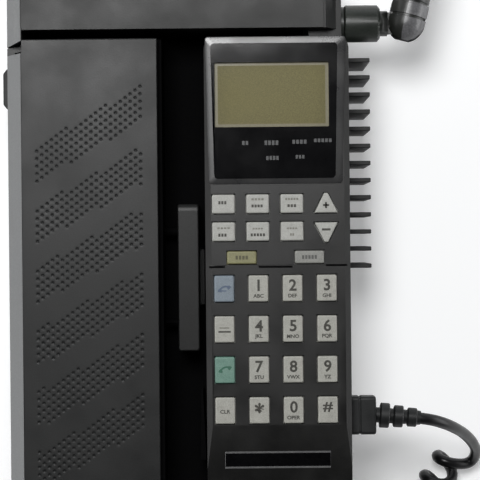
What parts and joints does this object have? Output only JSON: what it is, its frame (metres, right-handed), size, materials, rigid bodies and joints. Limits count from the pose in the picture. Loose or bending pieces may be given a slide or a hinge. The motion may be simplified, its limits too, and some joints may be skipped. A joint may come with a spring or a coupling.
{
  "type": "transportable mobile telephone",
  "caption": "Early transportable mobile phone lying on its back: ribbed base, clip-in battery pack, cradled keypad handset with display, swivel antenna, carry handle and curly cord.",
  "frame": {"origin": "centre of the flat back face of the base, midway between the four bracket holes", "axes": "+Z out of the front face with the keys, +Y to the head end with the carry handle, +X to the heat sink side"},
  "size_m": [0.2105, 0.3745, 0.0733],
  "materials": {
    "charcoal_plastic": "fine textured charcoal moulding",
    "black_plastic": "black moulding",
    "black_gloss": "glossy black",
    "key_white": "warm white key caps",
    "key_grey": "light grey key caps",
    "key_blue": "blue grey key cap",
    "key_green": "green key cap",
    "key_yellow": "yellow tab",
    "lcd_glass": "olive liquid crystal glass",
    "cast_aluminium": "black anodised casting",
    "plated_metal": "plated contact metal",
    "tinned_steel": "tinned steel",
    "circuit_board": "lacquered board",
    "rubber_grey": "soft grey rubber",
    "rubber_black": "black cord rubber",
    "antenna_grey": "grey green plastic",
    "cell_metal": "rechargeable cells in shrink sleeves"
  },
  "bodies": {
    "base": {"back_housing": "charcoal_plastic", "deck_plate": "black_plastic", "head_cover": "charcoal_plastic", "cradle": "black_plastic", "heat_sink": "cast_aluminium", "transceiver_board": "circuit_board", "rf_shield": "tinned_steel", "antenna_socket": "plated_metal", "case_screws": "tinned_steel", "battery_contacts": "plated_metal", "handle_pins": "tinned_steel", "base_plug": "rubber_black", "cord_coil": "rubber_black", "cord_tail": "rubber_black"},
    "handset": {"handset_front": "charcoal_plastic", "handset_back": "charcoal_plastic", "display_window": "black_gloss", "lcd_module": "lcd_glass", "key_mat": "rubber_grey", "handset_board": "circuit_board", "earpiece": "black_plastic", "microphone": "tinned_steel", "handset_plug": "rubber_black", "cord_lead": "rubber_black"},
    "battery": {"battery_cover": "charcoal_plastic", "battery_case": "charcoal_plastic", "battery_cells": "cell_metal"},
    "battery_latch": {"battery_latch": "charcoal_plastic"},
    "side_clamp": {"side_clamp": "charcoal_plastic"},
    "carry_handle": {"carry_handle": "black_plastic"},
    "hook_switch": {"hook_switch": "key_white"},
    "antenna_collar": {"antenna_collar": "antenna_grey"},
    "antenna": {"antenna_knuckle": "antenna_grey", "antenna_whip": "rubber_black"},
    "end_key": {"end_key": "key_blue"},
    "store_key": {"store_key": "key_white"},
    "call_key": {"call_key": "key_green"},
    "clear_key": {"clear_key": "key_white"},
    "key_1": {"key_1": "key_white"},
    "key_2": {"key_2": "key_white"},
    "key_3": {"key_3": "key_white"},
    "key_4": {"key_4": "key_white"},
    "key_5": {"key_5": "key_white"},
    "key_6": {"key_6": "key_white"},
    "key_7": {"key_7": "key_white"},
    "key_8": {"key_8": "key_white"},
    "key_9": {"key_9": "key_white"},
    "key_star": {"key_star": "key_white"},
    "key_0": {"key_0": "key_white"},
    "key_hash": {"key_hash": "key_white"},
    "menu_key_1": {"menu_key_1": "key_grey"},
    "menu_key_2": {"menu_key_2": "key_grey"},
    "menu_key_3": {"menu_key_3": "key_grey"},
    "menu_key_4": {"menu_key_4": "key_grey"},
    "menu_key_5": {"menu_key_5": "key_grey"},
    "menu_key_6": {"menu_key_6": "key_grey"},
    "yellow_tab": {"yellow_tab": "key_yellow"},
    "white_tab": {"white_tab": "key_grey"},
    "up_key": {"up_key": "key_grey"},
    "down_key": {"down_key": "key_grey"}
  },
  "joints": [
    {"name": "handset_lift", "type": "slide", "parent": "base", "child": "handset", "axis": [0, 0, 1], "range_m": [0, 0.06]},
    {"name": "battery_lift", "type": "slide", "parent": "base", "child": "battery", "axis": [0, 0, 1], "range_m": [0, 0.05]},
    {"name": "latch_press", "type": "slide", "parent": "battery", "child": "battery_latch", "axis": [1, 0, 0], "range_m": [0, 0.002], "stiffness_N_per_m": 600},
    {"name": "clamp_slide", "type": "slide", "parent": "base", "child": "side_clamp", "axis": [-1, 0, 0], "range_m": [0, 0.003], "stiffness_N_per_m": 800},
    {"name": "handle_swing", "type": "hinge", "parent": "base", "child": "carry_handle", "pos_m": [0, 0.128, 0.038], "axis": [1, 0, 0], "range_deg": [-35, 90]},
    {"name": "hook_rise", "type": "slide", "parent": "base", "child": "hook_switch", "axis": [0, 0, 1], "range_m": [0, 0.003]},
    {"name": "antenna_swivel", "type": "hinge", "parent": "base", "child": "antenna_collar", "pos_m": [0.0735, 0.0996, 0.045], "axis": [1, 0, 0], "range_deg": [-15, 90]},
    {"name": "antenna_tilt", "type": "hinge", "parent": "antenna_collar", "child": "antenna", "pos_m": [0.1006, 0.0996, 0.045], "axis": [0, 0, 1], "range_deg": [-76, 14]},
    {"name": "end_key_press", "type": "slide", "parent": "handset", "child": "end_key", "axis": [0, 0, -1], "range_m": [0, 0.0012], "stiffness_N_per_m": 300},
    {"name": "store_key_press", "type": "slide", "parent": "handset", "child": "store_key", "axis": [0, 0, -1], "range_m": [0, 0.0012], "stiffness_N_per_m": 300},
    {"name": "call_key_press", "type": "slide", "parent": "handset", "child": "call_key", "axis": [0, 0, -1], "range_m": [0, 0.0012], "stiffness_N_per_m": 300},
    {"name": "clear_key_press", "type": "slide", "parent": "handset", "child": "clear_key", "axis": [0, 0, -1], "range_m": [0, 0.0012], "stiffness_N_per_m": 300},
    {"name": "key_1_press", "type": "slide", "parent": "handset", "child": "key_1", "axis": [0, 0, -1], "range_m": [0, 0.0012], "stiffness_N_per_m": 300},
    {"name": "key_2_press", "type": "slide", "parent": "handset", "child": "key_2", "axis": [0, 0, -1], "range_m": [0, 0.0012], "stiffness_N_per_m": 300},
    {"name": "key_3_press", "type": "slide", "parent": "handset", "child": "key_3", "axis": [0, 0, -1], "range_m": [0, 0.0012], "stiffness_N_per_m": 300},
    {"name": "key_4_press", "type": "slide", "parent": "handset", "child": "key_4", "axis": [0, 0, -1], "range_m": [0, 0.0012], "stiffness_N_per_m": 300},
    {"name": "key_5_press", "type": "slide", "parent": "handset", "child": "key_5", "axis": [0, 0, -1], "range_m": [0, 0.0012], "stiffness_N_per_m": 300},
    {"name": "key_6_press", "type": "slide", "parent": "handset", "child": "key_6", "axis": [0, 0, -1], "range_m": [0, 0.0012], "stiffness_N_per_m": 300},
    {"name": "key_7_press", "type": "slide", "parent": "handset", "child": "key_7", "axis": [0, 0, -1], "range_m": [0, 0.0012], "stiffness_N_per_m": 300},
    {"name": "key_8_press", "type": "slide", "parent": "handset", "child": "key_8", "axis": [0, 0, -1], "range_m": [0, 0.0012], "stiffness_N_per_m": 300},
    {"name": "key_9_press", "type": "slide", "parent": "handset", "child": "key_9", "axis": [0, 0, -1], "range_m": [0, 0.0012], "stiffness_N_per_m": 300},
    {"name": "key_star_press", "type": "slide", "parent": "handset", "child": "key_star", "axis": [0, 0, -1], "range_m": [0, 0.0012], "stiffness_N_per_m": 300},
    {"name": "key_0_press", "type": "slide", "parent": "handset", "child": "key_0", "axis": [0, 0, -1], "range_m": [0, 0.0012], "stiffness_N_per_m": 300},
    {"name": "key_hash_press", "type": "slide", "parent": "handset", "child": "key_hash", "axis": [0, 0, -1], "range_m": [0, 0.0012], "stiffness_N_per_m": 300},
    {"name": "menu_key_1_press", "type": "slide", "parent": "handset", "child": "menu_key_1", "axis": [0, 0, -1], "range_m": [0, 0.0012], "stiffness_N_per_m": 300},
    {"name": "menu_key_2_press", "type": "slide", "parent": "handset", "child": "menu_key_2", "axis": [0, 0, -1], "range_m": [0, 0.0012], "stiffness_N_per_m": 300},
    {"name": "menu_key_3_press", "type": "slide", "parent": "handset", "child": "menu_key_3", "axis": [0, 0, -1], "range_m": [0, 0.0012], "stiffness_N_per_m": 300},
    {"name": "menu_key_4_press", "type": "slide", "parent": "handset", "child": "menu_key_4", "axis": [0, 0, -1], "range_m": [0, 0.0012], "stiffness_N_per_m": 300},
    {"name": "menu_key_5_press", "type": "slide", "parent": "handset", "child": "menu_key_5", "axis": [0, 0, -1], "range_m": [0, 0.0012], "stiffness_N_per_m": 300},
    {"name": "menu_key_6_press", "type": "slide", "parent": "handset", "child": "menu_key_6", "axis": [0, 0, -1], "range_m": [0, 0.0012], "stiffness_N_per_m": 300},
    {"name": "yellow_tab_press", "type": "slide", "parent": "handset", "child": "yellow_tab", "axis": [0, 0, -1], "range_m": [0, 0.0012], "stiffness_N_per_m": 300},
    {"name": "white_tab_press", "type": "slide", "parent": "handset", "child": "white_tab", "axis": [0, 0, -1], "range_m": [0, 0.0012], "stiffness_N_per_m": 300},
    {"name": "up_key_press", "type": "slide", "parent": "handset", "child": "up_key", "axis": [0, 0, -1], "range_m": [0, 0.0012], "stiffness_N_per_m": 300},
    {"name": "down_key_press", "type": "slide", "parent": "handset", "child": "down_key", "axis": [0, 0, -1], "range_m": [0, 0.0012], "stiffness_N_per_m": 300}
  ],
  "couplings": [
    {"joint": "hook_rise", "follows": "handset_lift", "ratio": 0.05}
  ]
}
